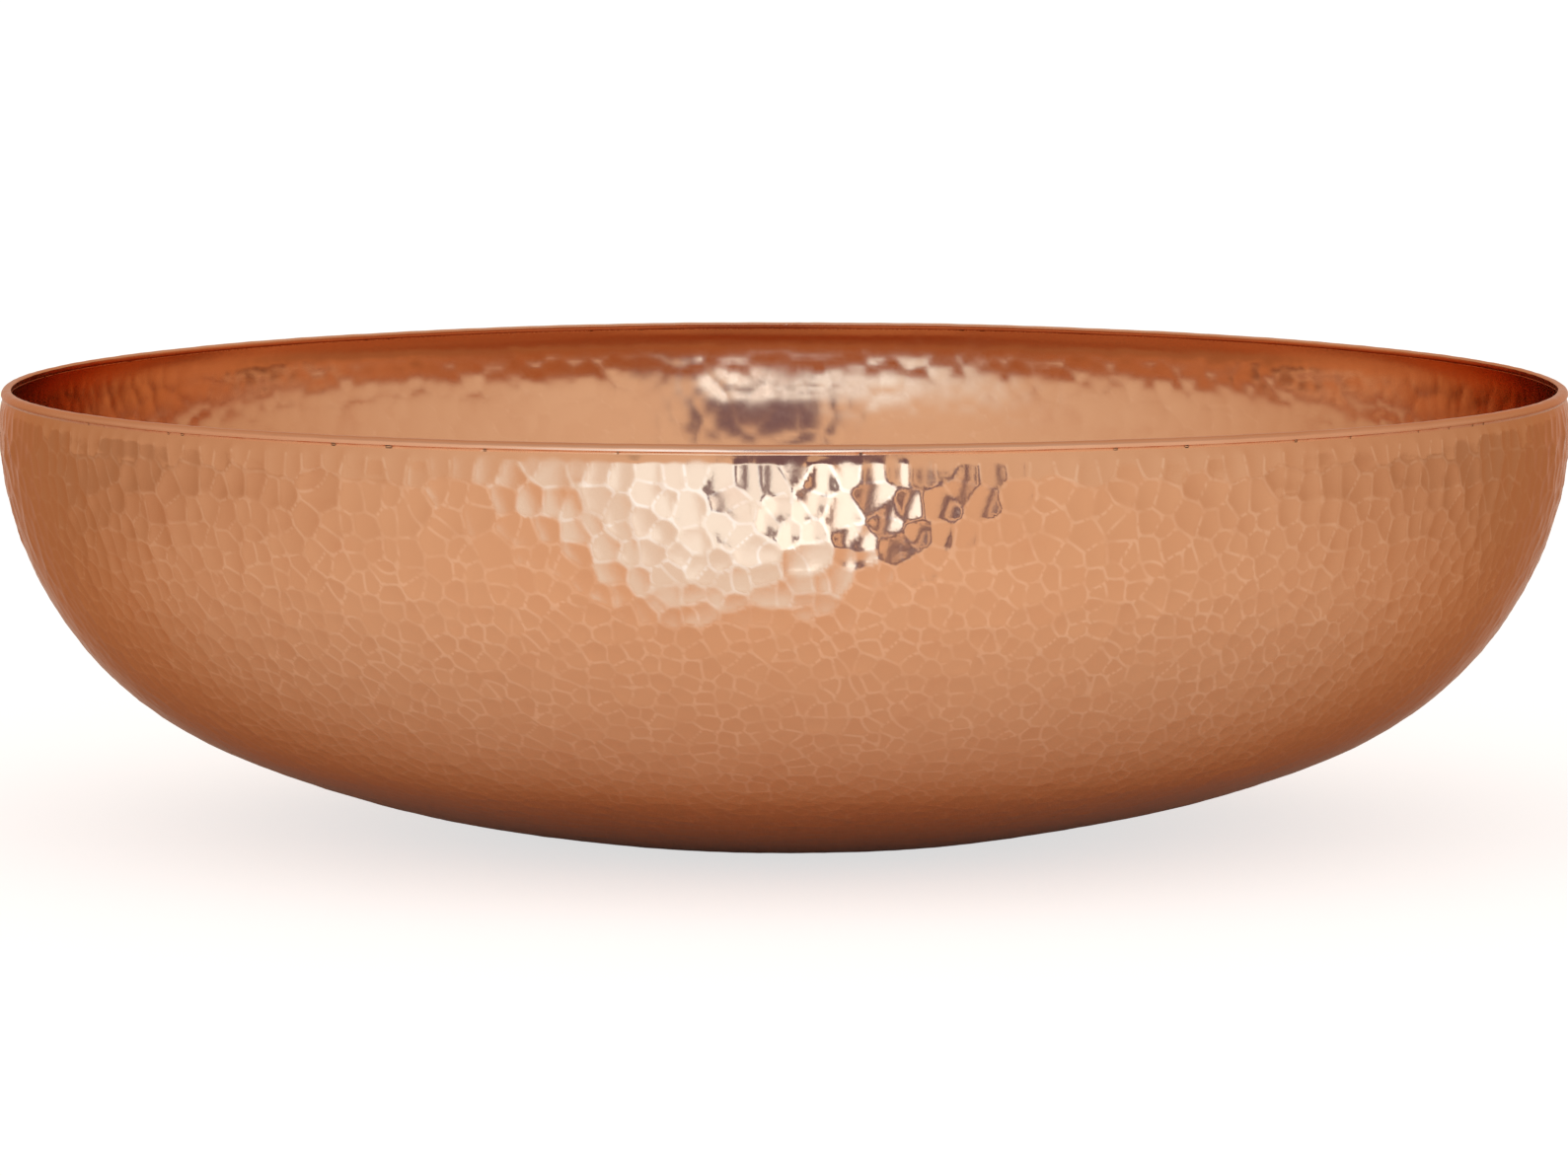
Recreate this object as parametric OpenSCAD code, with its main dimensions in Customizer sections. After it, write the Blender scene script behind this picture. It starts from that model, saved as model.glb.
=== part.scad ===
// Hammered copper bowl: a raised copper shell with a round-topped copper hoop
// brazed on its trimmed edge. Millimetres, +Z up, with the origin at the centre
// of the flat that the bowl rests on.

/* [Bowl] */
// Widest outside diameter of the shell
bowl_d = 400; // [390:1:412]
// Overall height, from the resting flat to the top of the rim
bowl_h = 115; // [113.5:0.5:125]
// Height of the widest level of the shell
belly_h = 107; // [105:0.5:109]
// Thickness of the copper sheet
sheet_t = 1.6; // [1.2:0.1:2.2]

/* [Outside curves] */
// Diameter of the flat that the bowl rests on
base_d = 88; // [80:1:92]
// Radius of the curve from the flat into the body
heel_r = 60; // [30:5:90]
// Radius of the long, shallow body curve
body_r = 320; // [300:5:360]
// Radius of the side curve, up to the widest level
side_r = 91; // [88:1:92]
// Radius of the curve that leans in from the widest level to the rim
shoulder_r = 22; // [20:1:60]

/* [Rim hoop] */
// Width of the hoop across its flat underside
hoop_w = 2.8; // [2.6:0.1:3.2]
// Height of the hoop
hoop_h = 1.8; // [1.7:0.1:3]
// Length of the slanted scarf joint that closes the hoop
scarf_l = 8; // [5:0.5:14]
// Where the scarf joint lies, as an angle about the bowl from +X
scarf_at = 90; // [5:5:355]

/* [Braze] */
// Thickness of the braze between the hoop and the sheet's edge
seam_t = 0.1; // [0.05:0.05:0.3]
// How far the seam's fillets are drawn down the wall
fillet_h = 0.8; // [0.5:0.1:1.2]
// Thickness of the braze in the scarf joint
scarf_t = 0.3; // [0.2:0.05:0.6]

/* [Hidden] */

SHEET_COLOUR = "#c98560";
HOOP_COLOUR = "#d29b7c";
BRAZE_COLOUR = "#8f5a3a";

// Largest turn between two points of an outline, in degrees: of the sheet, and of
// the hoop's round top
SHEET_STEP = 3;
HOOP_STEP = 15;
// How much of the sheet's thickness a fillet's foot is drawn into
FOOT_SHARE = 0.1;

// Levels of the hoop's underside, the sheet's trimmed edge and the fillets' feet
seat_h = bowl_h - hoop_h;
trim_h = seat_h - seam_t;
foot_h = trim_h - fillet_h;

// Centres of the outside curves, as [radius, height]
heel_c = [base_d / 2, heel_r];
side_c = [bowl_d / 2 - side_r, belly_h];
shoulder_c = [bowl_d / 2 - shoulder_r, belly_h];
body_c = upper_crossing(side_c, body_r - side_r, heel_c, body_r - heel_r);

// Slopes at which the heel and the side curve run into the body curve
heel_slope = slope_from(body_c, heel_c);
side_slope = slope_from(body_c, side_c);

// Radius of the middle of the hoop, which straddles the sheet's edge
hoop_at = wall_middle(trim_h);

// Where a circle of radius r1 about c1 crosses one of r2 about c2, on the upper side
function upper_crossing(c1, r1, c2, r2) =
    let (gap = norm(c2 - c1), along = (c2 - c1) / gap,
         t = (r1 * r1 - r2 * r2 + gap * gap) / (2 * gap))
    c1 + t * along + sqrt(r1 * r1 - t * t) * [along.y, -along.x];

// Slope of the outline where its normal runs from one centre through another:
// 0 where the wall is upright, 90 on the flat and below 0 where it leans in
function slope_from(from, to) = atan2(from.y - to.y, to.x - from.x);

// Points round centre c, from just after one slope up to the next
function arc(c, r, slope_0, slope_1, step = SHEET_STEP) =
    let (n = ceil(abs(slope_1 - slope_0) / step))
    [for (i = [1 : n])
        let (slope = slope_0 + (slope_1 - slope_0) * i / n)
        c + r * [cos(slope), -sin(slope)]];

// Slope of the shoulder curve at a height, at a depth into the sheet
function lean(height, depth) = asin((belly_h - height) / (shoulder_r - depth));

// Radius of the wall above the widest level, at a depth into the sheet
function wall_at(height, depth) =
    shoulder_c.x + (shoulder_r - depth) * cos(lean(height, depth));

// Radius of the middle of the sheet above the widest level
function wall_middle(height) = (wall_at(height, 0) + wall_at(height, sheet_t)) / 2;

// One face of the sheet, from the axis to the trimmed edge, at a depth into the sheet
function sheet_face(depth) = concat(
    [[0, depth], [heel_c.x, depth]],
    arc(heel_c, heel_r - depth, 90, heel_slope),
    arc(body_c, body_r - depth, heel_slope, side_slope),
    arc(side_c, side_r - depth, side_slope, 0),
    arc(shoulder_c, shoulder_r - depth, 0, lean(trim_h, depth)));

function backwards(points) = [for (i = [len(points) - 1 : -1 : 0]) points[i]];

module sheet_section() {
    polygon(concat(sheet_face(0), backwards(sheet_face(sheet_t))));
}

// Flat underside, short upright sides and a half-round top
module hoop_section() {
    top_r = hoop_w / 2;
    top_c = [hoop_at, bowl_h - top_r];
    polygon(concat(
        [[hoop_at - top_r, seat_h], [hoop_at + top_r, seat_h], [hoop_at + top_r, top_c.y]],
        arc(top_c, top_r, 0, -180, HOOP_STEP)));
}

// The braze under the hoop, with a fillet down each side of the sheet's edge
module seam_section() {
    foot_w = sheet_t * (1 - FOOT_SHARE);
    foot_at = wall_middle(foot_h);
    difference() {
        polygon([
            [hoop_at - hoop_w / 2, seat_h],
            [hoop_at + hoop_w / 2, seat_h],
            [foot_at + foot_w / 2, foot_h],
            [foot_at - foot_w / 2, foot_h],
        ]);
        sheet_section();
    }
}

module hoop_ring() {
    rotate_extrude($fn = 180)
        hoop_section();
}

// The slanted gap between the hoop's two ends
module scarf_gap() {
    rotate([0, 0, scarf_at])
        translate([hoop_at, 0, seat_h + hoop_h / 2])
            rotate([atan(hoop_h / scarf_l), 0, 0])
                cube([2 * hoop_w, 2 * scarf_l, scarf_t], center = true);
}

// The raised sheet: flat base, body and wall in one piece
module bowl_shell() {
    color(SHEET_COLOUR)
        rotate_extrude($fn = 180)
            sheet_section();
}

// The hoop that stiffens the edge, open at its scarf joint
module rim_hoop() {
    color(HOOP_COLOUR)
        difference() {
            hoop_ring();
            scarf_gap();
        }
}

// The brazed seam between the hoop and the sheet
module seam_braze() {
    color(BRAZE_COLOUR)
        rotate_extrude($fn = 180)
            seam_section();
}

// The braze that joins the hoop's two ends
module scarf_braze() {
    color(BRAZE_COLOUR)
        intersection() {
            hoop_ring();
            scarf_gap();
        }
}

bowl_shell();
rim_hoop();
seam_braze();
scarf_braze();
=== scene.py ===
"""Looks of the hammered copper bowl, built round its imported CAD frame. Metres, +Z up."""

import math

import bpy
import numpy as np
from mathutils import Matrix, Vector


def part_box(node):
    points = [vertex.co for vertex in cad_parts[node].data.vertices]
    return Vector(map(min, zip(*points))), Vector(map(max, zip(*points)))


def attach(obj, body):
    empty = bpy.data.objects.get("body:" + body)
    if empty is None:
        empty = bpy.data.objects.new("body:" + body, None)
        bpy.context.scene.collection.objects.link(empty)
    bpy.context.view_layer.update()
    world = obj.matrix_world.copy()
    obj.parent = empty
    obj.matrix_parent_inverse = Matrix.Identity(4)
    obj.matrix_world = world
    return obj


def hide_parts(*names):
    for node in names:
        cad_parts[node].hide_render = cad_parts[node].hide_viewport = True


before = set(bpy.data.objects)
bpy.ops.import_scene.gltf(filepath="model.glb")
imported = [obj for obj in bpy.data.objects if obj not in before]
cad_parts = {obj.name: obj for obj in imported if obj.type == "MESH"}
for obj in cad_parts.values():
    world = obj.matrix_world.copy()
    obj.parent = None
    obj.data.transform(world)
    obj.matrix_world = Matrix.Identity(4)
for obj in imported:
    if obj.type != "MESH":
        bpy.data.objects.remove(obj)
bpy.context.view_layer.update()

MM = 0.001
TURN = 2 * math.pi

# Levels in the frame: the sheet's trimmed edge, the feet of the seam's braze, and the hoop's
# underside and top
EDGE_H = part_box("bowl_shell")[1].z
SEAM_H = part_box("seam_braze")[0].z
SEAT_H, BOWL_H = [corner.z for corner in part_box("rim_hoop")]
SCARF_LOW, SCARF_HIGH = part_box("scarf_braze")

# Points and levels of the CAD mesh nearer than this count as one
SAME = 0.05 * MM
# A facet that turns by less than this, in radians, runs straight on
STRAIGHT = 0.01

# Mesh fineness: spacing of the rings of points on each face of the sheet, points in the
# rings at the rim, and sections round the hoop and the seam
OUTSIDE_STEP = 0.95 * MM
INSIDE_STEP = 1.05 * MM
RIM_POINTS = 1280
HOOP_SECTIONS = 1800
SEAM_SECTIONS = 2400
# Rings halve their points where these are closer than this share of the rings' spacing,
# down to the fewest
CROWDED = 0.66
FEWEST_POINTS = 5
# Points nearer to a ridge than this share of the rings' spacing move onto it
NEAR_RIDGE = 0.4
# Edges that turn by more than this stay sharp
SHARP = math.radians(35)

# The shell's hand-made unevenness: the rim's rise and fall, and the height, lengths and
# number of the slow waves all over it
SADDLE = 0.7 * MM
LUMP = 0.08 * MM
LUMP_LENGTHS = (38 * MM, 95 * MM)
LUMP_COUNT = 14

# Distances from ridges are held to this, in mm
RIDGE_FAR = 3

# What is added to the inside face's distances from its ridges, in mm, so that their pale
# tint, of wear and painted highlight, is fainter there
INSIDE_RIDGES_FAINTER = 0.44

SEED = 11


# ---------------------------------------------------------------- outlines

def sheet_outline(outer):
    """One face of the CAD sheet as (radius, height) points, from the axis to the trimmed edge."""
    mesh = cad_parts["bowl_shell"].data
    eye = Vector((0, 0, EDGE_H))
    found = set()
    for face in mesh.polygons:
        on_edge = face.center.z > EDGE_H - SAME
        if on_edge or (face.normal.dot(face.center - eye) > 0) != outer:
            continue
        for index in face.vertices:
            p = mesh.vertices[index].co
            found.add((round(math.hypot(p.x, p.y), 6), round(p.z, 6)))
    points = np.array(sorted(found, key=lambda p: math.atan2(p[0], eye.z - p[1] + MM)))
    if points[0, 0] > 0:
        points = np.concatenate([[[0, points[0, 1]]], points])
    return corners_only(points)


def corners_only(points):
    """The points without repeats, and without those along a straight facet."""
    kept = [points[0]]
    for point, after in zip(points[1:], points[2:]):
        a, b = point - kept[-1], after - point
        if min(np.linalg.norm(a), np.linalg.norm(b)) < SAME:
            continue
        bend = (a[0] * b[1] - a[1] * b[0]) / (np.linalg.norm(a) * np.linalg.norm(b))
        if abs(bend) > STRAIGHT:
            kept.append(point)
    return np.array(kept + [points[-1]])


class Outline:
    """A sheet face's outline, with the turn between its points spread smoothly along it."""

    FINE = 0.25 * MM

    def __init__(self, points):
        steps = np.diff(points, axis=0)
        reach = np.concatenate([[0], np.cumsum(np.hypot(steps[:, 0], steps[:, 1]))])
        slopes = np.unwrap(np.arctan2(steps[:, 1], steps[:, 0]))
        count = int(round(reach[-1] / self.FINE))
        self.s = np.linspace(0, reach[-1], count + 1)
        middles = (self.s[:-1] + self.s[1:]) / 2
        # The first stretch is the flat, and beyond it each facet has its slope at its middle
        known = np.concatenate([[0, reach[1]], (reach[1:-1] + reach[2:]) / 2])
        turn = np.interp(middles, known, np.concatenate([slopes[:1], slopes]))
        walk = np.stack([np.cos(turn), np.sin(turn)], axis=1) * (self.s[1] - self.s[0])
        path = points[0] + np.concatenate([[[0, 0]], np.cumsum(walk, axis=0)])
        path += (points[-1] - path[-1]) * (self.s / self.s[-1])[:, None]
        self.r, self.z = path[:, 0], path[:, 1]
        self.slope = np.interp(self.s, middles, turn)
        self.length = reach[-1]

    def at(self, s):
        """Radius, height and slope at a distance along the outline."""
        return [np.interp(s, self.s, values) for values in (self.r, self.z, self.slope)]


# ---------------------------------------------------------------- unevenness

class Lumps:
    """Slow waves in the sheet, from working it by hand."""

    def __init__(self, seed):
        rng = np.random.default_rng(seed)
        ways = rng.normal(size=(LUMP_COUNT, 3))
        ways /= np.linalg.norm(ways, axis=1)[:, None]
        lengths = np.geomspace(*LUMP_LENGTHS, LUMP_COUNT)
        self.ways = ways * (TURN / lengths)[:, None]
        self.phase = rng.uniform(0, TURN, LUMP_COUNT)
        share = lengths / lengths.max()
        self.height = LUMP * share / np.sqrt((share**2).sum() / 2)

    def at(self, points):
        return np.sin(points @ self.ways.T + self.phase) @ self.height


LUMPS = Lumps(SEED)
OUTSIDE = Outline(sheet_outline(True))
INSIDE = Outline(sheet_outline(False))


def radii(node):
    """Smallest and largest radius of a CAD node."""
    found = [math.hypot(v.co.x, v.co.y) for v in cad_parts[node].data.vertices]
    return min(found), max(found)


HOOP_IN, HOOP_OUT = radii("rim_hoop")
HOOP_R = (HOOP_IN + HOOP_OUT) / 2
HOOP_W = HOOP_OUT - HOOP_IN
HOOP_H = BOWL_H - SEAT_H
# How far in from its middle the hoop's inner side stands: a hair beyond the sheet's inside
HOOP_FOOT = HOOP_R - INSIDE.r[-1] + 0.02 * MM

# The scarf joint: where it is, and the slant's length and the gap's width round the rim
SCARF_MIDDLE = (SCARF_LOW + SCARF_HIGH) / 2
SCARF_AT = math.atan2(SCARF_MIDDLE.y, SCARF_MIDDLE.x)
SCARF_L = 8 * MM
SCARF_GAP = (SCARF_HIGH - SCARF_LOW).x - SCARF_L


def saddle(points):
    """The rim's slow rise to the front and back, and its fall to the two sides."""
    turn = np.arctan2(points[:, 1], points[:, 0])
    return -SADDLE * np.cos(2 * turn) * (points[:, 2] / BOWL_H) ** 2


def on_circle(r, z, turn):
    """Points at these radii, heights and turns about the bowl's axis."""
    return np.stack([r * np.cos(turn), r * np.sin(turn), z], axis=-1)


def outward(slope, turn):
    """The way out of the outside face, where its outline has this slope."""
    out = np.sin(slope)
    return np.stack([out * np.cos(turn), out * np.sin(turn), -np.cos(slope)], axis=-1)


def turn_between(turn, other):
    """How far apart two turns are, whichever way round is shorter."""
    return np.abs((turn - other + math.pi) % TURN - math.pi)


def smooth(share):
    """A share held to 0..1 and eased at both ends."""
    share = np.clip(share, 0, 1)
    return share * share * (3 - 2 * share)


# ---------------------------------------------------------------- hammer marks

class Marks:
    """Hammer marks in courses round one face of the sheet. Each is a shallow dish, and
    the face follows whichever dish is lowest, so that marks meet in ridges."""

    # Widths and heights of the marks in the courses under the rim, as shares of the size
    WIDTHS = (1.05, 1.05, 1.05, 1.0)
    HEIGHTS = (1.35, 1.22, 1.1, 1.0)
    # Further down a course is this high, less the loss for each course above it, but no
    # lower than the least
    HEIGHT, LOSS, LEAST = 0.94, 0.012, 0.8
    # How much wider than high marks may be, as a share of the size
    WIDER = 0.1
    # How far marks stray from their even places, in the top course and in the others
    STRAY_TOP, STRAY = 0.2, 0.42
    # The blows are lighter at the lower of these levels than at the upper one
    FORCE_LEVELS, FORCES = (0, 0.8 * BOWL_H), (0.28, 1.0)
    # Spread of the dishes' curves
    CURVES = (0.7, 1.4)
    # How many courses and marks away the lowest dish at a point can be
    REACH = 2

    def __init__(self, outline, way, size, narrow, curve, depth, tilt, top_gap, seed):
        """way is +1 where the face's normal leads away from the axis, -1 where it leads in.
        size is the spacing of marks and narrow the share of it that they have round the bowl,
        curve the dish's rise per length squared, depth and tilt the spread of the marks, and
        top_gap how far under the edge the first course is."""
        rng = np.random.default_rng(seed)
        self.way = way
        room = outline.length - top_gap
        gaps = [share * size for share in self.HEIGHTS]
        while sum(gaps) < room:
            gaps.append(max(self.HEIGHT - self.LOSS * len(gaps), self.LEAST) * size)
        gaps = np.array(gaps) * room / sum(gaps)
        self.levels = np.concatenate([[0], np.cumsum(gaps[::-1])])
        self.courses = []
        for row, s in enumerate(self.levels):
            from_top = len(self.levels) - 1 - row
            gap = gaps[min(from_top, len(gaps) - 1)]
            width = self.WIDTHS[min(from_top, len(self.WIDTHS) - 1)]
            width = min(width, gap / size + self.WIDER)
            radius = np.interp(s, outline.s, outline.r)
            n = max(1, int(round(TURN * radius / (size * width * narrow))))
            stray = self.STRAY_TOP if from_top == 0 else self.STRAY
            turn = (np.arange(n) + rng.uniform(0, 1) + rng.uniform(-stray, stray, n)) * TURN / n
            along = s + rng.uniform(-stray, stray, n) * gap * (row > 0)
            r, z, slope = outline.at(along)
            centre = on_circle(r, z, turn)
            normal = way * outward(slope, turn)
            force = np.interp(z, self.FORCE_LEVELS, self.FORCES)
            lean = rng.normal(0, tilt, (n, 3)) * force[:, None]
            lean -= (lean * normal).sum(1)[:, None] * normal
            self.courses.append({
                "n": n,
                "start": turn[0] / TURN * n,
                "centre": centre,
                "lean": lean,
                "deep": rng.uniform(0, 1, n) * depth * force,
                "curve": curve * rng.uniform(*self.CURVES, n) * force,
                "tone": rng.uniform(0, 1, n),
            })

    def lowest(self, s, turn, points):
        """At points of one ring: the lowest dish's height, how far the next one is above it,
        the way in which that grows fastest and how fast, and the lowest one's tone."""
        row = int(np.abs(self.levels - s).argmin())
        heights, grads, tones = [], [], []
        steps = range(-self.REACH, self.REACH + 1)
        for course in self.courses[max(0, row - self.REACH):row + self.REACH + 1]:
            n = course["n"]
            near = np.round(turn / TURN * n - course["start"]).astype(int)
            for step in steps if n >= len(steps) else range(n):
                pick = (near + step) % n
                offset = points - course["centre"][pick]
                curve = course["curve"][pick]
                lean = course["lean"][pick]
                heights.append(
                    curve * (offset**2).sum(1)
                    + (lean * offset).sum(1)
                    - course["deep"][pick]
                )
                grads.append(2 * curve[:, None] * offset + lean)
                tones.append(course["tone"][pick])
        heights, grads, tones = np.array(heights), np.array(grads), np.array(tones)
        order = np.argpartition(heights, 1, axis=0)[:2]
        first, second = np.take_along_axis(heights, order, axis=0)
        order = np.where(first > second, order[::-1], order)
        across = np.arange(len(turn))
        low, high = heights[order[0], across], heights[order[1], across]
        ridge = grads[order[1], across] - grads[order[0], across]
        return low, high - low, ridge, tones[order[0], across]


# ---------------------------------------------------------------- meshes

def make_object(name, points, faces, material, fields=None):
    """A smooth mesh object from points and a list of face arrays, with point fields."""
    mesh = bpy.data.meshes.new(name)
    loops = np.concatenate([f.ravel() for f in faces])
    sizes = np.concatenate([np.full(len(f), f.shape[1]) for f in faces])
    starts = np.concatenate([[0], np.cumsum(sizes)[:-1]])
    mesh.vertices.add(len(points))
    mesh.vertices.foreach_set("co", points.astype(np.float32).ravel())
    mesh.loops.add(len(loops))
    mesh.loops.foreach_set("vertex_index", loops.astype(np.int32))
    mesh.polygons.add(len(sizes))
    mesh.polygons.foreach_set("loop_start", starts.astype(np.int32))
    mesh.polygons.foreach_set("use_smooth", np.ones(len(sizes), bool))
    for key, values in (fields or {}).items():
        field = mesh.attributes.new(key, "FLOAT", "POINT")
        field.data.foreach_set("value", values.astype(np.float32))
    mesh.update(calc_edges=True)
    mesh.validate()
    mesh.set_sharp_from_angle(angle=SHARP)
    mesh.materials.append(material)
    piece = bpy.data.objects.new(name, mesh)
    bpy.context.scene.collection.objects.link(piece)
    return piece


def ring_counts(outline, rings, step):
    """How many points each ring has: the rim's count, halved wherever they'd crowd, and 1
    at the axis."""
    counts = []
    n = RIM_POINTS
    for s in rings[::-1]:
        radius = np.interp(s, outline.s, outline.r)
        while n > FEWEST_POINTS and TURN * radius / n < CROWDED * step:
            n //= 2
        counts.append(n)
    counts[-1] = 1
    return counts[::-1]


def ring_faces(counts, flip):
    """Faces between rings of points, which double in count where a ring is twice as full."""
    starts = np.concatenate([[0], np.cumsum(counts)])
    quads, tris = [], []
    for row in range(len(counts) - 1):
        n, m = counts[row], counts[row + 1]
        a, b = starts[row], starts[row + 1]
        k = np.arange(n)
        nxt = (k + 1) % n
        if n == 1:
            k = np.arange(m)
            tris.append(np.stack([np.full(m, a), b + k, b + (k + 1) % m], axis=1))
        elif n == m:
            quads.append(np.stack([a + k, b + k, b + nxt, a + nxt], axis=1))
        else:
            f0, f1, f2 = b + 2 * k, b + 2 * k + 1, b + (2 * k + 2) % m
            tris.append(np.stack([a + k, f0, f1], axis=1))
            tris.append(np.stack([a + k, f1, a + nxt], axis=1))
            tris.append(np.stack([a + nxt, f1, f2], axis=1))
    faces = [np.concatenate(part) for part in (quads, tris) if part]
    return [f[:, ::-1] if flip else f for f in faces]


def onto_ridges(slope, turn, gap, ridge, near):
    """How far points have to move up the face and round it to be on a ridge, or 0 where
    that's farther than near."""
    up = np.stack([
        np.cos(slope) * np.cos(turn), np.cos(slope) * np.sin(turn), np.sin(slope)
    ], axis=1)
    onward = np.stack([-np.sin(turn), np.cos(turn), np.zeros_like(turn)], axis=1)
    rise, run = (ridge * up).sum(1), (ridge * onward).sum(1)
    # The small number keeps the division from failing where two dishes have one slope
    size = rise**2 + run**2 + 1e-12
    moves = -gap * rise / size, -gap * run / size
    close = np.hypot(*moves) < near
    return [np.where(close, move, 0) for move in moves]


def sheet_face(outline, marks, step, calm):
    """Points of one hammered face of the sheet, ring by ring, with their fields. calm is
    how far under the edge the marks begin to show, and how far under it they're whole."""
    rows = int(round(outline.length / step))
    rings = np.linspace(0, outline.length, rows + 1)
    step = rings[1]
    counts = ring_counts(outline, rings, step)
    points, ridges, tones = [], [], []

    def look(s, along, turn):
        r, z, slope = outline.at(along)
        base = on_circle(r, z, turn)
        return r, slope, base, marks.lowest(s, turn, base)

    for s, n in zip(rings, counts):
        turn = np.arange(n) * TURN / n
        along = np.full(n, s)
        r, slope, base, (low, gap, ridge, tone) = look(s, along, turn)
        # The outermost and innermost rings stay as they are
        if 2 * step < s < outline.length - 2 * step:
            up, onward = onto_ridges(slope, turn, gap, ridge, NEAR_RIDGE * step)
            along = along + up
            turn = turn + onward / r
            r, slope, base, (low, gap, ridge, tone) = look(s, along, turn)
        away = gap / (np.linalg.norm(ridge, axis=1) + 1e-9)
        fade = smooth((outline.length - along - calm[0]) / (calm[1] - calm[0]))
        height = low * fade + marks.way * LUMPS.at(base)
        moved = base + marks.way * outward(slope, turn) * height[:, None]
        moved[:, 2] += saddle(base)
        points.append(moved)
        ridges.append(np.clip(away / MM, 0, RIDGE_FAR) + RIDGE_FAR * (1 - fade))
        tones.append(0.5 + (tone - 0.5) * fade)
    fields = {"ridge": np.concatenate(ridges), "tone": np.concatenate(tones)}
    return np.concatenate(points), counts, fields


def hammered_shell(material):
    """The raised sheet, with hammer marks on both faces."""
    out_marks = Marks(
        OUTSIDE, way=1, size=5.5 * MM, narrow=1.0, curve=18.0, depth=0.045 * MM, tilt=0.012,
        top_gap=4.3 * MM, seed=SEED + 1)
    in_marks = Marks(
        INSIDE, way=-1, size=6.6 * MM, narrow=0.56, curve=5.5, depth=0.015 * MM, tilt=0.009,
        top_gap=4.0 * MM, seed=SEED + 2)
    out_points, out_counts, out_fields = sheet_face(
        OUTSIDE, out_marks, OUTSIDE_STEP, calm=(0.9 * MM, 2.6 * MM))
    in_points, in_counts, in_fields = sheet_face(
        INSIDE, in_marks, INSIDE_STEP, calm=(1.8 * MM, 5.0 * MM))
    in_fields["ridge"] += INSIDE_RIDGES_FAINTER
    for fields, inside in ((out_fields, 0), (in_fields, 1)):
        fields["inside"] = np.full_like(fields["ridge"], inside)
    # The resting flat stays flat
    out_points[:, 2] = np.maximum(out_points[:, 2], 0)
    faces = ring_faces(out_counts, True)
    first = len(out_points)
    faces += [f + first for f in ring_faces(in_counts, False)]
    # The trimmed edge, between the last rings of the two faces
    k = np.arange(RIM_POINTS)
    nxt = (k + 1) % RIM_POINTS
    a, b = first - RIM_POINTS, first + len(in_points) - RIM_POINTS
    faces.append(np.stack([a + k, a + nxt, b + nxt, b + k], axis=1))
    fields = {key: np.concatenate([out_fields[key], in_fields[key]]) for key in out_fields}
    points = np.concatenate([out_points, in_points])
    return make_object("hammered_shell", points, faces, material, fields)


# ---------------------------------------------------------------- rim

def ripple(rng, turn, lengths):
    """A slow uneven wave round the rim, about 1 high, of waves of these lengths."""
    total = np.zeros_like(turn)
    for length in lengths:
        cycles = max(1, int(round(TURN * HOOP_R / length)))
        total += rng.uniform(0.5, 1) * np.sin(cycles * turn + rng.uniform(0, TURN))
    return total / len(lengths)


def edge_shift(turn):
    """How the sheet's unevenness moves its edge, round the rim."""
    base = on_circle(HOOP_R, np.full_like(turn, SEAT_H), turn)
    shift = outward(np.full_like(turn, OUTSIDE.slope[-1]), turn) * LUMPS.at(base)[:, None]
    shift[:, 2] += saddle(base)
    return shift


def swept(r, z, turn):
    """Points of sections round the rim. r, z and turn have a row for each section."""
    shift = np.stack([edge_shift(row) for row in turn.T], axis=1)
    return (on_circle(r, z, turn) + shift).reshape(-1, 3)


def tube_faces(rows, columns, closed):
    """Faces round a row of sections, each a closed loop of points. closed joins the last
    section to the first."""
    row = np.arange(rows if closed else rows - 1)[:, None]
    column = np.arange(columns)[None, :]
    nxt = (column + 1) % columns
    after = (row + 1) % rows
    quads = np.stack([
        row * columns + column, after * columns + column,
        after * columns + nxt, row * columns + nxt,
    ], axis=-1)
    return quads.reshape(-1, 4)


def arc(x, z, radius, turns):
    """Points round a centre, at turns in degrees."""
    turns = np.radians(turns)
    return np.array([x, z]) + radius * np.stack([np.cos(turns), np.sin(turns)], axis=1)


def hoop_outline():
    """The hoop's section, anticlockwise from the middle of its underside. Its top is
    half-round outside, with a small corner inside, where the hoop leans in as the wall does."""
    half, under_r, inner_r = HOOP_W / 2, 0.22 * MM, 0.5 * MM
    lean = np.tan(OUTSIDE.slope[-1] - math.pi / 2)
    inner_at = -HOOP_FOOT - lean * (HOOP_H - inner_r) + inner_r
    return np.concatenate([
        [[0, 0], [half / 2, 0]],
        arc(half - under_r, under_r, under_r, np.arange(-90, 1, 30)),
        arc(0, HOOP_H - half, half, np.arange(0, 97, 12)),
        arc(inner_at, HOOP_H - inner_r, inner_r, np.arange(96, 181, 14)),
        [[-HOOP_FOOT, under_r / 2], [-HOOP_FOOT + under_r / 2, 0]],
    ])


def scarf_turn(turn, z):
    """How far round a section point is carried by the scarf's slant, near the joint."""
    hold = smooth(1 - (turn_between(turn, SCARF_AT) * HOOP_R - SCARF_GAP) / SCARF_L)
    rise = (z - SEAT_H) / HOOP_H - 0.5
    return -hold * rise * SCARF_L / HOOP_R


def hoop_piece(name, r, z, turn, material):
    """A length of hoop with closed ends, whose sections slant near the scarf joint. r and z
    have a row for each turn."""
    rows, columns = r.shape
    around = np.repeat(turn[:, None], columns, axis=1)
    around = around + scarf_turn(around, z)
    end = np.arange(columns)[None, :]
    faces = [tube_faces(rows, columns, False), end, (rows - 1) * columns + end[:, ::-1]]
    return make_object(name, swept(r, z, around), faces, material)


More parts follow.
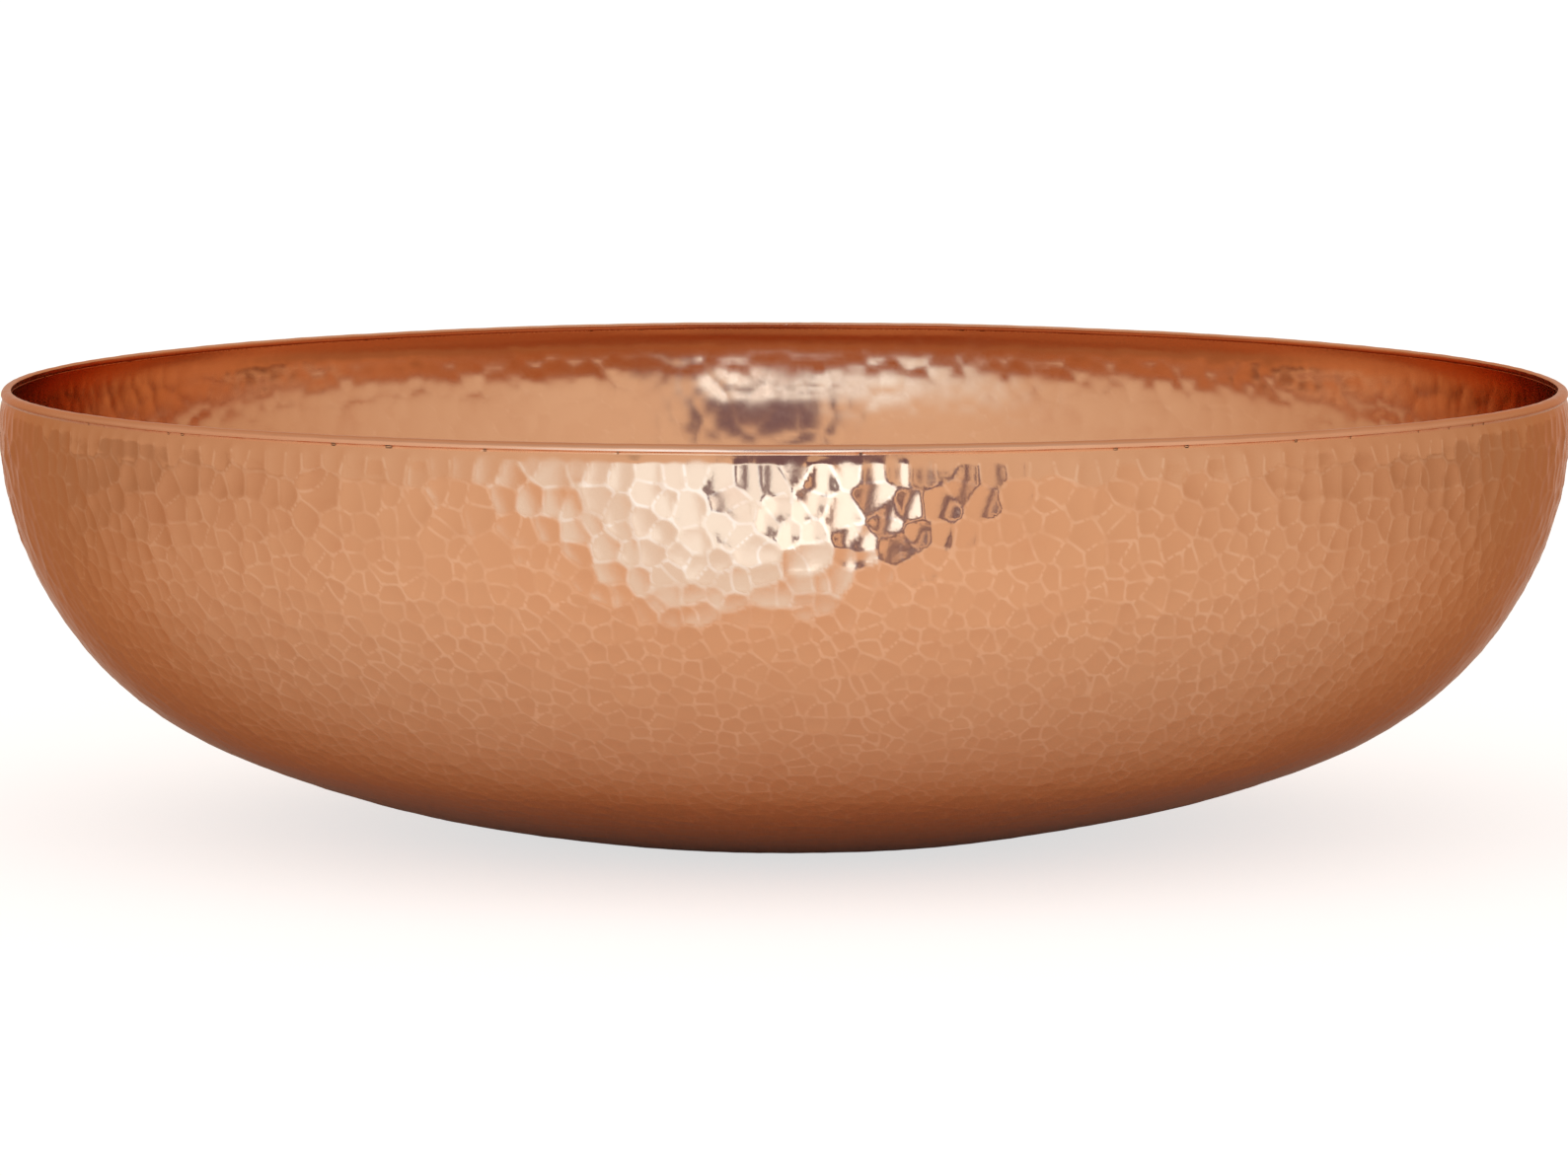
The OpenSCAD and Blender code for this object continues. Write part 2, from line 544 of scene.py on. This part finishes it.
# How unevenly the hoop was made: spread of its width and height as shares of them, how far
# it sways to the sides, and the share of its height that dressing took off
HOOP_WIDTHS, HOOP_HEIGHTS, HOOP_SWAY, HOOP_DRESSED = 0.05, 0.04, 0.05 * MM, 0.03


def rim_hoop(material):
    """The hoop on the sheet's edge, from one end of its scarf joint round to the other."""
    rng = np.random.default_rng(SEED + 3)
    outline = hoop_outline()
    start = SCARF_AT + SCARF_GAP / 2 / HOOP_R
    turn = start + np.linspace(0, 1, HOOP_SECTIONS) * (TURN - SCARF_GAP / HOOP_R)
    wide = 1 + HOOP_WIDTHS * ripple(rng, turn, (23 * MM, 41 * MM, 90 * MM))
    sway = HOOP_SWAY * ripple(rng, turn, (31 * MM, 57 * MM, 130 * MM))
    tall = 1 + HOOP_HEIGHTS * ripple(rng, turn, (9 * MM, 17 * MM, 36 * MM)) - HOOP_DRESSED
    r = HOOP_R + sway[:, None] + outline[None, :, 0] * wide[:, None]
    z = SEAT_H + outline[None, :, 1] * tall[:, None]
    return hoop_piece("rim_hoop_forged", r, z, turn, material)


# The scarf's braze is this much larger than the hoop's section, and dressed down to this
# share of the hoop's height
SCARF_PROUD, SCARF_DRESSED = 1.012, 0.985


def scarf_braze(material):
    """The slanted layer of braze between the hoop's two ends, a hair proud of their sides."""
    centre = np.array([0, HOOP_H / 2])
    outline = centre + (hoop_outline() - centre) * SCARF_PROUD
    outline[:, 1] = np.minimum(outline[:, 1], HOOP_H * SCARF_DRESSED)
    turn = SCARF_AT + np.array([-0.5, -0.2, 0.2, 0.5]) * SCARF_GAP / HOOP_R
    r = np.repeat(HOOP_R + outline[None, :, 0], len(turn), axis=0)
    z = np.repeat(SEAT_H + outline[None, :, 1], len(turn), axis=0)
    return hoop_piece("scarf_braze_line", r, z, turn, material)


# The seam's pinholes: how many, half their widths in mm, and how deep the deepest is
PINHOLES, PINHOLE_HALVES, PINHOLE_DEEP = 44, (0.25, 1.1), 0.5 * MM
# How much the seam's feet wander up and down, how far it is tucked into the hoop and into
# the wall, and how far its corners are back from the hoop's
SEAM_WANDER, SEAM_TUCK, SEAM_BACK = 0.18 * MM, 0.05 * MM, 0.06 * MM
# Points down each side of the seam, and how far its two middle points, inside the sheet,
# are above its feet and to either side
SEAM_POINTS, SEAM_HOLLOW, SEAM_MIDDLE = 6, 0.25 * MM, 0.3 * MM


def seam_braze(material):
    """The braze under the hoop, drawn down both sides of the sheet's edge, with pinholes."""
    rng = np.random.default_rng(SEED + 4)
    turn = np.arange(SEAM_SECTIONS) * TURN / SEAM_SECTIONS
    pit = np.zeros_like(turn)
    for _ in range(PINHOLES):
        at, half = rng.uniform(0, TURN), rng.uniform(*PINHOLE_HALVES) * MM / HOOP_R
        away = turn_between(turn, at) / half
        pit = np.maximum(pit, rng.uniform(0.4, 1) * np.exp(-(away**2) * 2))
    top = SEAT_H + SEAM_TUCK
    foot = SEAM_H + SEAM_WANDER * ripple(rng, turn, (7 * MM, 13 * MM, 29 * MM))
    share = np.linspace(0, 1, SEAM_POINTS)[:, None]
    # A pinhole is deepest about a third of the way down
    deep = PINHOLE_DEEP * np.sin(np.clip(share * 1.6, 0, 1) * math.pi)
    sides = []
    # From the hoop's underside to the wall: hollow outside, dressed straight inside
    for way, face, reach, bow in ((1, OUTSIDE, HOOP_W / 2, 2.2), (-1, INSIDE, HOOP_FOOT, 1.0)):
        upper = slice(len(face.z) // 2, None)
        low = np.interp(SEAM_H, face.z[upper], face.r[upper]) - way * SEAM_TUCK
        corner = HOOP_R + way * (reach - SEAM_BACK)
        r = low + (corner - low) * (1 - share) ** bow - way * pit * deep
        z = top + (foot - top) * share
        sides.append(np.stack([r, z, np.broadcast_to(pit, r.shape)])[:, ::way])
    middle = np.zeros((3, 2, len(turn)))
    middle[0] = HOOP_R + np.array([[SEAM_MIDDLE], [-SEAM_MIDDLE]])
    middle[1] = SEAM_H + SEAM_HOLLOW
    r, z, pits = np.concatenate([sides[0], middle, sides[1]], axis=1).transpose(0, 2, 1)
    points = swept(r, z, np.repeat(turn[:, None], r.shape[1], axis=1))
    faces = [tube_faces(*r.shape, True)[:, ::-1]]
    return make_object("seam_braze_fillet", points, faces, material, {"pit": pits.ravel()})


# ---------------------------------------------------------------- materials

def add(tree, kind, inputs=None, **settings):
    """A node with its settings, and its inputs set or linked."""
    made = tree.nodes.new(kind)
    for key, value in settings.items():
        setattr(made, key, value)
    for key, value in (inputs or {}).items():
        if isinstance(value, bpy.types.NodeSocket):
            tree.links.new(value, made.inputs[key])
        else:
            made.inputs[key].default_value = value
    return made


def field(tree, name):
    """A mesh's point field."""
    return add(tree, "ShaderNodeAttribute", attribute_name=name).outputs["Fac"]


def place(tree):
    """Where a point is on its own object, in metres."""
    return add(tree, "ShaderNodeTexCoord").outputs["Object"]


def noise(tree, where, size, detail=2.0, rough=0.5):
    """Noise whose features are about this size."""
    return add(tree, "ShaderNodeTexNoise", {
        "Vector": where, "Scale": 1 / size, "Detail": detail, "Roughness": rough,
    }).outputs["Fac"]


def span(tree, value, low, high, to_low=0.0, to_high=1.0, kind="SMOOTHSTEP"):
    """value from low..high carried to to_low..to_high, held beyond the ends."""
    return add(tree, "ShaderNodeMapRange", {
        "Value": value, "From Min": low, "From Max": high,
        "To Min": to_low, "To Max": to_high,
    }, interpolation_type=kind).outputs["Result"]


def plus(tree, a, b):
    return add(tree, "ShaderNodeMath", {0: a, 1: b}, operation="ADD").outputs[0]


def times(tree, a, b):
    return add(tree, "ShaderNodeMath", {0: a, 1: b}, operation="MULTIPLY").outputs[0]


def mixed(tree, share, a, b):
    """The number between two numbers."""
    return add(tree, "ShaderNodeMix", {0: share, 2: a, 3: b}).outputs[0]


def blend(tree, factor, a, b):
    """The colour between two colours, each of them a socket or three numbers."""
    a, b = [c if isinstance(c, bpy.types.NodeSocket) else (*c, 1) for c in (a, b)]
    return add(tree, "ShaderNodeMix", {0: factor, 6: a, 7: b}, data_type="RGBA").outputs[2]


def bump(tree, height, strength, distance, under=None):
    """The normal over a bump, which may lie on another bump's normal."""
    inputs = {"Height": height, "Strength": strength, "Distance": distance}
    if under is not None:
        inputs["Normal"] = under
    return add(tree, "ShaderNodeBump", inputs).outputs["Normal"]


def either(tree, share, a, b):
    """The shader between two shaders."""
    return add(tree, "ShaderNodeMixShader", {0: share, 1: a, 2: b}).outputs[0]


def new_material(name):
    """A material without nodes, and its tree."""
    material = bpy.data.materials.new(name)
    material.use_nodes = True
    material.node_tree.nodes.clear()
    return material, material.node_tree


def surface(tree, shader):
    """Makes a shader the surface of the tree's material."""
    add(tree, "ShaderNodeOutputMaterial", {"Surface": shader})


def principled(tree, **values):
    """A shader with its inputs set or linked. These are named with _ for each space."""
    inputs = {key.replace("_", " "): value for key, value in values.items()}
    return add(tree, "ShaderNodeBsdfPrincipled", inputs).outputs["BSDF"]


# The copper's colour where it is seen nearly edge on
EDGE_TINT = (0.86, 0.56, 0.42, 1)
# The sheet's darkest and lightest copper, and its colour in redder marks, on ridges, where
# it is worn and carries a painted highlight, and in stains
SHEET_DARK, SHEET_LIGHT = (0.685, 0.338, 0.174), (0.735, 0.385, 0.212)
REDDER, WEAR_AND_HIGHLIGHT, STAINED = (0.64, 0.285, 0.14), (0.93, 0.60, 0.40), (0.60, 0.20, 0.09)
# The most of each of those that shows
REDDER_SHARE, WEAR_AND_HIGHLIGHT_SHARE, STAINED_SHARE = 0.22, 0.36, 0.16
# How far from a ridge its wear and painted highlight begin to fade and end, in mm
RIDGE_WEAR_AND_HIGHLIGHT = (0.08, 0.62)
# Where ridges' wear and painted highlight are least and most, and where stains begin and are
# whole, in a noise, and the least and most of that wear and painted highlight
WEAR_AND_HIGHLIGHT_SPAN, WEAR_AND_HIGHLIGHT_LEAST_MOST, STAIN_SPAN = (0.35, 0.65), (0.3, 0.9), (0.56, 0.74)
# The sheet's roughness in its smoothest and roughest marks, and what stains, grain and
# the inside add to it
MARKS_ROUGH = (0.085, 0.125)
STAIN_ROUGH, GRAIN_ROUGH, INSIDE_ROUGH = 0.08, 0.03, 0.035
# Strength of the sheet's ripple and grain, outside and inside, and how deep they are
RIPPLE_STRENGTHS, GRAIN_STRENGTHS = (0.5, 0.12), (0.35, 0.02)
RIPPLE_DEEP, GRAIN_DEEP = 0.04 * MM, 0.02 * MM
# The hoop's colours and roughness, and its ripple's strength and depth
HOOP_DARK, HOOP_LIGHT, HOOP_ROUGH = (0.72, 0.35, 0.19), (0.81, 0.44, 0.27), (0.16, 0.24)
HOOP_RIPPLE = (0.2, 0.03 * MM)
# The braze's colours, the painted shade in its pinholes, its roughness and what pinholes add
# to it, its grain's strength and depth, and how deep a pinhole begins to darken with painted
# shade and is black
BRAZE_DARK, BRAZE_LIGHT, PINHOLE_SHADE = (0.66, 0.29, 0.14), (0.80, 0.38, 0.20), (0.03, 0.012, 0.008)
BRAZE_ROUGH, PINHOLE_ROUGH = (0.2, 0.34), 0.4
BRAZE_GRAIN, PINHOLE_SHADE_SPAN = (0.5, 0.05 * MM), (0.25, 0.7)
# Between these two a noise goes from low to high in nearly all of its range
NOISE_SPAN = (0.3, 0.7)


def hammered_copper():
    """Planished copper: cloudy, redder in some marks, paler on ridges with wear and a painted
    highlight, and faintly stained.
    """
    material, tree = new_material("hammered_copper")
    where = place(tree)
    tone = field(tree, "tone")
    inside = field(tree, "inside")
    wear_and_highlight = span(tree, noise(tree, where, 7 * MM), *WEAR_AND_HIGHLIGHT_SPAN, *WEAR_AND_HIGHLIGHT_LEAST_MOST)
    ridge = times(tree, span(tree, field(tree, "ridge"), *RIDGE_WEAR_AND_HIGHLIGHT, 1.0, 0.0), wear_and_highlight)
    cloud = noise(tree, where, 60 * MM, 4.0, 0.55)
    stain = span(tree, noise(tree, where, 24 * MM, 6.0, 0.62), *STAIN_SPAN)
    grain = noise(tree, where, 0.9 * MM, 3.0, 0.6)
    colour = blend(tree, cloud, SHEET_DARK, SHEET_LIGHT)
    colour = blend(tree, times(tree, tone, REDDER_SHARE), colour, REDDER)
    # Wear and painted highlight: ridges are paler, as worn copper and as edges catching the light
    colour = blend(tree, times(tree, ridge, WEAR_AND_HIGHLIGHT_SHARE), colour, WEAR_AND_HIGHLIGHT)
    colour = blend(tree, times(tree, stain, STAINED_SHARE), colour, STAINED)
    rough = span(tree, tone, 0.0, 1.0, *MARKS_ROUGH, "LINEAR")
    for more in (
        times(tree, stain, STAIN_ROUGH),
        span(tree, grain, *NOISE_SPAN, 0.0, GRAIN_ROUGH, "LINEAR"),
        times(tree, inside, INSIDE_ROUGH),
    ):
        rough = plus(tree, rough, more)
    normal = bump(tree, noise(tree, where, 2.6 * MM, 1.0),
                  span(tree, inside, 0.0, 1.0, *RIPPLE_STRENGTHS), RIPPLE_DEEP)
    normal = bump(tree, grain,
                  span(tree, inside, 0.0, 1.0, *GRAIN_STRENGTHS), GRAIN_DEEP, normal)
    surface(tree, principled(tree, Metallic=1, Base_Color=colour, Roughness=rough,
                             Specular_Tint=EDGE_TINT, Normal=normal))
    return material


def rim_copper():
    """Dressed copper, paler and duller than the sheet's."""
    material, tree = new_material("rim_copper")
    where = place(tree)
    cloud = noise(tree, where, 30 * MM, 4.0, 0.6)
    rubbed = noise(tree, where, 5 * MM)
    colour = blend(tree, cloud, HOOP_DARK, HOOP_LIGHT)
    rough = span(tree, rubbed, *NOISE_SPAN, *HOOP_ROUGH, "LINEAR")
    normal = bump(tree, noise(tree, where, 4 * MM, 1.0), *HOOP_RIPPLE)
    surface(tree, principled(tree, Metallic=1, Base_Color=colour, Roughness=rough,
                             Specular_Tint=EDGE_TINT, Normal=normal))
    return material


def braze():
    """Duller copper-coloured filler, with painted shade, nearly black, in its pinholes."""
    material, tree = new_material("braze")
    where = place(tree)
    pit = span(tree, field(tree, "pit"), *PINHOLE_SHADE_SPAN)
    cloud = noise(tree, where, 6 * MM, 4.0, 0.6)
    grain = noise(tree, where, 0.5 * MM, 3.0, 0.6)
    colour = blend(tree, cloud, BRAZE_DARK, BRAZE_LIGHT)
    # Painted shade: the braze darkens to nearly black in its pinholes
    colour = blend(tree, pit, colour, PINHOLE_SHADE)
    rough = plus(tree, span(tree, grain, *NOISE_SPAN, *BRAZE_ROUGH, "LINEAR"),
                 times(tree, pit, PINHOLE_ROUGH))
    normal = bump(tree, grain, *BRAZE_GRAIN)
    surface(tree, principled(
        tree, Metallic=1, Base_Color=colour, Roughness=rough, Normal=normal))
    return material


# ---------------------------------------------------------------- studio

# How bright the tent is low down in front of the bowl, at its sides and straight behind it,
# then halfway up all round, and overhead
FRONT, SIDE, BEHIND, MIDDLE, ROOF = 0.98, 0.57, 0.66, 0.66, 0.66
# Heights, as the sine of the angle, between which the tent goes over to those last two
TO_MIDDLE, TO_ROOF = (0.5, 0.64), (0.7, 1.0)
# Shares ahead between which the tent goes over to BEHIND, and from warm to white
TO_BEHIND, TO_WHITE = (-0.72, -0.97), (-0.2, 0.9)
# How bright the floor is painted at the bowl's sides, how much of its light it sends on, and
# what painted light on it adds to that, from none to all of it between these distances from
# the bowl's middle. This painted shade and light are what the bowl mirrors. What the camera
# sees of the floor has its own shade and glow.
FLOOR_SIDE, FLOOR_SHADE, FLOOR_PAINTED_LIGHT, PAINTED_LIGHT_FROM = 0.52, 0.95, 0.38, (0.05, 0.32)
SEEN_SHADE, SEEN_GLOW = 0.6, 0.68
# Half the floor's width, and its level, which is just under the bowl
FLOOR_HALF, FLOOR_H = 40.0, -0.05 * MM
# The tent's colour in front, and at its sides and behind
WHITE, WARM = (1.0, 1.0, 1.0), (1.0, 0.84, 0.72)
# How far in front of the bowl its cards stand, and how much nearer each is than the last,
# with the share of that by which it is higher on the floor
CARDS_AT, CARD_LIFT, LIFT_SHARE = 1.0, 0.01, 0.1
# The share of the bowl's height from which the cards' directions are measured, and the
# most degrees between a card's points
EYE_SHARE, CARD_FINE = 0.87, 2.0


def tent(tree, way, back, side):
    """The height of a direction from the bowl, and the tent's brightness and colour low down
    there. Brightness goes from FRONT straight ahead to side where the direction's share
    ahead is down to back, and then to BEHIND straight behind."""
    part = add(tree, "ShaderNodeSeparateXYZ", {"Vector": way}).outputs
    flat = add(tree, "ShaderNodeCombineXYZ", {"X": part["X"], "Y": part["Y"]}).outputs[0]
    flat = add(tree, "ShaderNodeVectorMath", {0: flat}, operation="NORMALIZE").outputs[0]
    ahead = add(tree, "ShaderNodeVectorMath", {
        0: flat, 1: (0, -1, 0)}, operation="DOT_PRODUCT").outputs["Value"]
    bright = span(tree, ahead, back, 1.0, side, FRONT, "LINEAR")
    behind = span(tree, ahead, *TO_BEHIND, 0.0, BEHIND - side)
    colour = blend(tree, span(tree, ahead, *TO_WHITE), WARM, WHITE)
    return part["Z"], plus(tree, bright, behind), colour


def camera_ray(tree):
    return add(tree, "ShaderNodeLightPath").outputs["Is Camera Ray"]


def studio_world():
    """The tent as the bowl sees it, and plain white to the camera."""
    world = bpy.data.worlds.new("studio")
    bpy.context.scene.world = world
    world.use_nodes = True
    tree = world.node_tree
    tree.nodes.clear()
    way = add(tree, "ShaderNodeTexCoord").outputs["Generated"]
    up, bright, colour = tent(tree, way, -1.0, SIDE)
    bright = mixed(tree, span(tree, up, *TO_MIDDLE), bright, MIDDLE)
    bright = mixed(tree, span(tree, up, *TO_ROOF), bright, ROOF)
    light = add(tree, "ShaderNodeBackground", {"Color": colour, "Strength": bright}).outputs[0]
    plain = add(tree, "ShaderNodeBackground", {"Color": (*WHITE, 1)}).outputs[0]
    seen = either(tree, camera_ray(tree), light, plain)
    add(tree, "ShaderNodeOutputWorld", {"Surface": seen})


def stage_piece(name, points, faces, material):
    """A mesh that belongs to the studio."""
    mesh = bpy.data.meshes.new(name)
    mesh.from_pydata(points, [], faces)
    mesh.materials.append(material)
    piece = bpy.data.objects.new(name, mesh)
    bpy.context.scene.collection.objects.link(piece)
    return piece


def floor():
    """A pale floor. What the bowl mirrors of it has painted shade, darker and warmer to the sides
    and behind, and painted light that grows away from the bowl.
    """
    material, tree = new_material("studio_floor")
    where = place(tree)
    # Painted shade: the floor's colour follows the tent's brightness round the bowl, for all but
    # the camera
    _, bright, colour = tent(tree, where, -0.3, FLOOR_SIDE)
    away = add(tree, "ShaderNodeVectorMath", {0: where}, operation="LENGTH").outputs["Value"]
    # Painted light: the floor glows, not at all near the bowl's middle and fully farther out
    painted_light = times(tree, bright, span(tree, away, *PAINTED_LIGHT_FROM, 0.0, FLOOR_PAINTED_LIGHT))
    ray = camera_ray(tree)
    shade = mixed(tree, ray, times(tree, bright, FLOOR_SHADE), SEEN_SHADE)
    colour = blend(tree, ray, colour, WHITE)
    ground = principled(
        tree, Base_Color=blend(tree, shade, (0, 0, 0), colour), Roughness=0.9,
        Specular_IOR_Level=0.0, Emission_Color=colour,
        Emission_Strength=mixed(tree, ray, painted_light, SEEN_GLOW))
    # From below there is no floor, so that the underside can be looked at
    below = add(tree, "ShaderNodeNewGeometry").outputs["Backfacing"]
    clear = add(tree, "ShaderNodeBsdfTransparent").outputs[0]
    surface(tree, either(tree, below, ground, clear))
    half = FLOOR_HALF
    corners = [(x, y, FLOOR_H) for x, y in (
        (-half, -half), (half, -half), (half, half), (-half, half))]
    stage_piece("floor", corners, [(0, 1, 2, 3)], material)


def card(name, turns, rises, lift, colour, strength, soft):
    """A card that only the bowl's mirror images show. turns and rises are where the front
    of the bowl sees its sides and its ends, in degrees: right of straight ahead and above
    the horizon. It stands upright in front of the bowl and lies on the floor below that,
    lift nearer than CARDS_AT. Its edges fade over soft degrees."""
    material, tree = new_material(name)
    glow = add(tree, "ShaderNodeEmission", {
        "Color": (*colour, 1), "Strength": strength}).outputs[0]
    clear = add(tree, "ShaderNodeBsdfTransparent").outputs[0]
    surface(tree, either(tree, field(tree, "solid"), clear, glow))
    # Its points are on a grid of directions from the part of the front that mirrors it
    eye = np.array([0, -HOOP_R, EYE_SHARE * BOWL_H])
    fine = min(soft / 2, CARD_FINE)
    across = np.linspace(*turns, int((turns[1] - turns[0]) / fine) + 2)
    up = np.linspace(*rises, int((rises[1] - rises[0]) / fine) + 2)
    turn, rise = [grid.ravel() for grid in np.meshgrid(across, up)]
    way = np.stack([
        np.tan(np.radians(turn)), -np.ones_like(turn),
        np.tan(np.radians(rise)) / np.cos(np.radians(turn)),
    ], axis=1)
    reach = np.full_like(turn, CARDS_AT - lift)
    down = way[:, 2] < 0
    reach[down] = np.minimum(reach[down], (eye[2] - lift * LIFT_SHARE) / -way[down, 2])
    solid = smooth(np.minimum.reduce([
        turn - turns[0], turns[1] - turn, rise - rises[0], rises[1] - rise]) / soft)
    columns, rows = len(across), len(up)
    k = (np.arange(rows - 1)[:, None] * columns + np.arange(columns - 1)).ravel()
    faces = np.stack([k, k + 1, k + columns + 1, k + columns], axis=1)
    piece = stage_piece(name, (eye + way * reach[:, None]).tolist(), faces.tolist(), material)
    shown = piece.data.attributes.new("solid", "FLOAT", "POINT")
    shown.data.foreach_set("value", solid.astype(np.float32))
    piece.visible_camera = False
    piece.visible_shadow = False
    piece.visible_diffuse = False


def cards():
    """What stands before the tent's open front: a glow, a soft box, and dark things round
    it. Each is nearer than the one before, which it hides."""
    glow, white, dusk = (1.1, 1.5, 2.0), (1.35, 2.1, 3.1), (0.22, 0.19, 0.33)
    for place_in_row, (name, turns, rises, colour, strength, soft) in enumerate((
        ("glow", (-50, 22), (-58, 22), glow, 1.0, 18.0),
        ("glow_core", (-30, 16), (-38, 20), white, 1.0, 12.0),
        ("dark_opening", (-9, 18), (13, 33), dusk, 1.0, 1.5),
        ("softbox", (1, 15), (-31, 16), white, 1.25, 2.0),
        ("dark_post", (-5, 0.5), (-16, 9), dusk, 1.0, 0.6),
        ("dark_stand", (15, 20.5), (-26, 8), dusk, 1.0, 0.6),
        ("dark_leg", (24, 28.5), (-26, 8), dusk, 1.0, 0.6),
        ("dark_foot", (15, 29), (-30, -25), dusk, 1.0, 0.6),
    )):
        card(name, turns, rises, place_in_row * CARD_LIFT, colour, strength, soft)


# The camera's lens and sensor in mm, the point it looks at, how far from that it stands and
# how far above its level, as an angle
LENS, SENSOR = 196.9, 36
TARGET, AWAY, TILT = Vector((-0.1 * MM, 0, 61.6 * MM)), 2.2, math.radians(5.91)


def camera():
    """The photo's view, through a long lens from a little above the rim."""
    data = bpy.data.cameras.new("camera")
    data.sensor_width = SENSOR
    data.lens = LENS
    data.clip_start, data.clip_end = 0.05, 200
    eye = bpy.data.objects.new("camera", data)
    bpy.context.scene.collection.objects.link(eye)
    back = Vector((0, -math.cos(TILT), math.sin(TILT)))
    eye.location = TARGET + back * AWAY
    eye.rotation_mode = "QUATERNION"
    eye.rotation_quaternion = (-back).to_track_quat("-Z", "Y")
    bpy.context.scene.camera = eye


def stands_for(piece, node):
    """Puts a visible piece in the place of a CAD node."""
    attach(piece, "root")
    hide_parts(node)


COPPER, RIM, BRAZE = hammered_copper(), rim_copper(), braze()
stands_for(hammered_shell(COPPER), "bowl_shell")
stands_for(rim_hoop(RIM), "rim_hoop")
stands_for(seam_braze(BRAZE), "seam_braze")
stands_for(scarf_braze(BRAZE), "scarf_braze")

studio_world()
floor()
cards()
camera()
bpy.context.scene.view_settings.view_transform = "Standard"
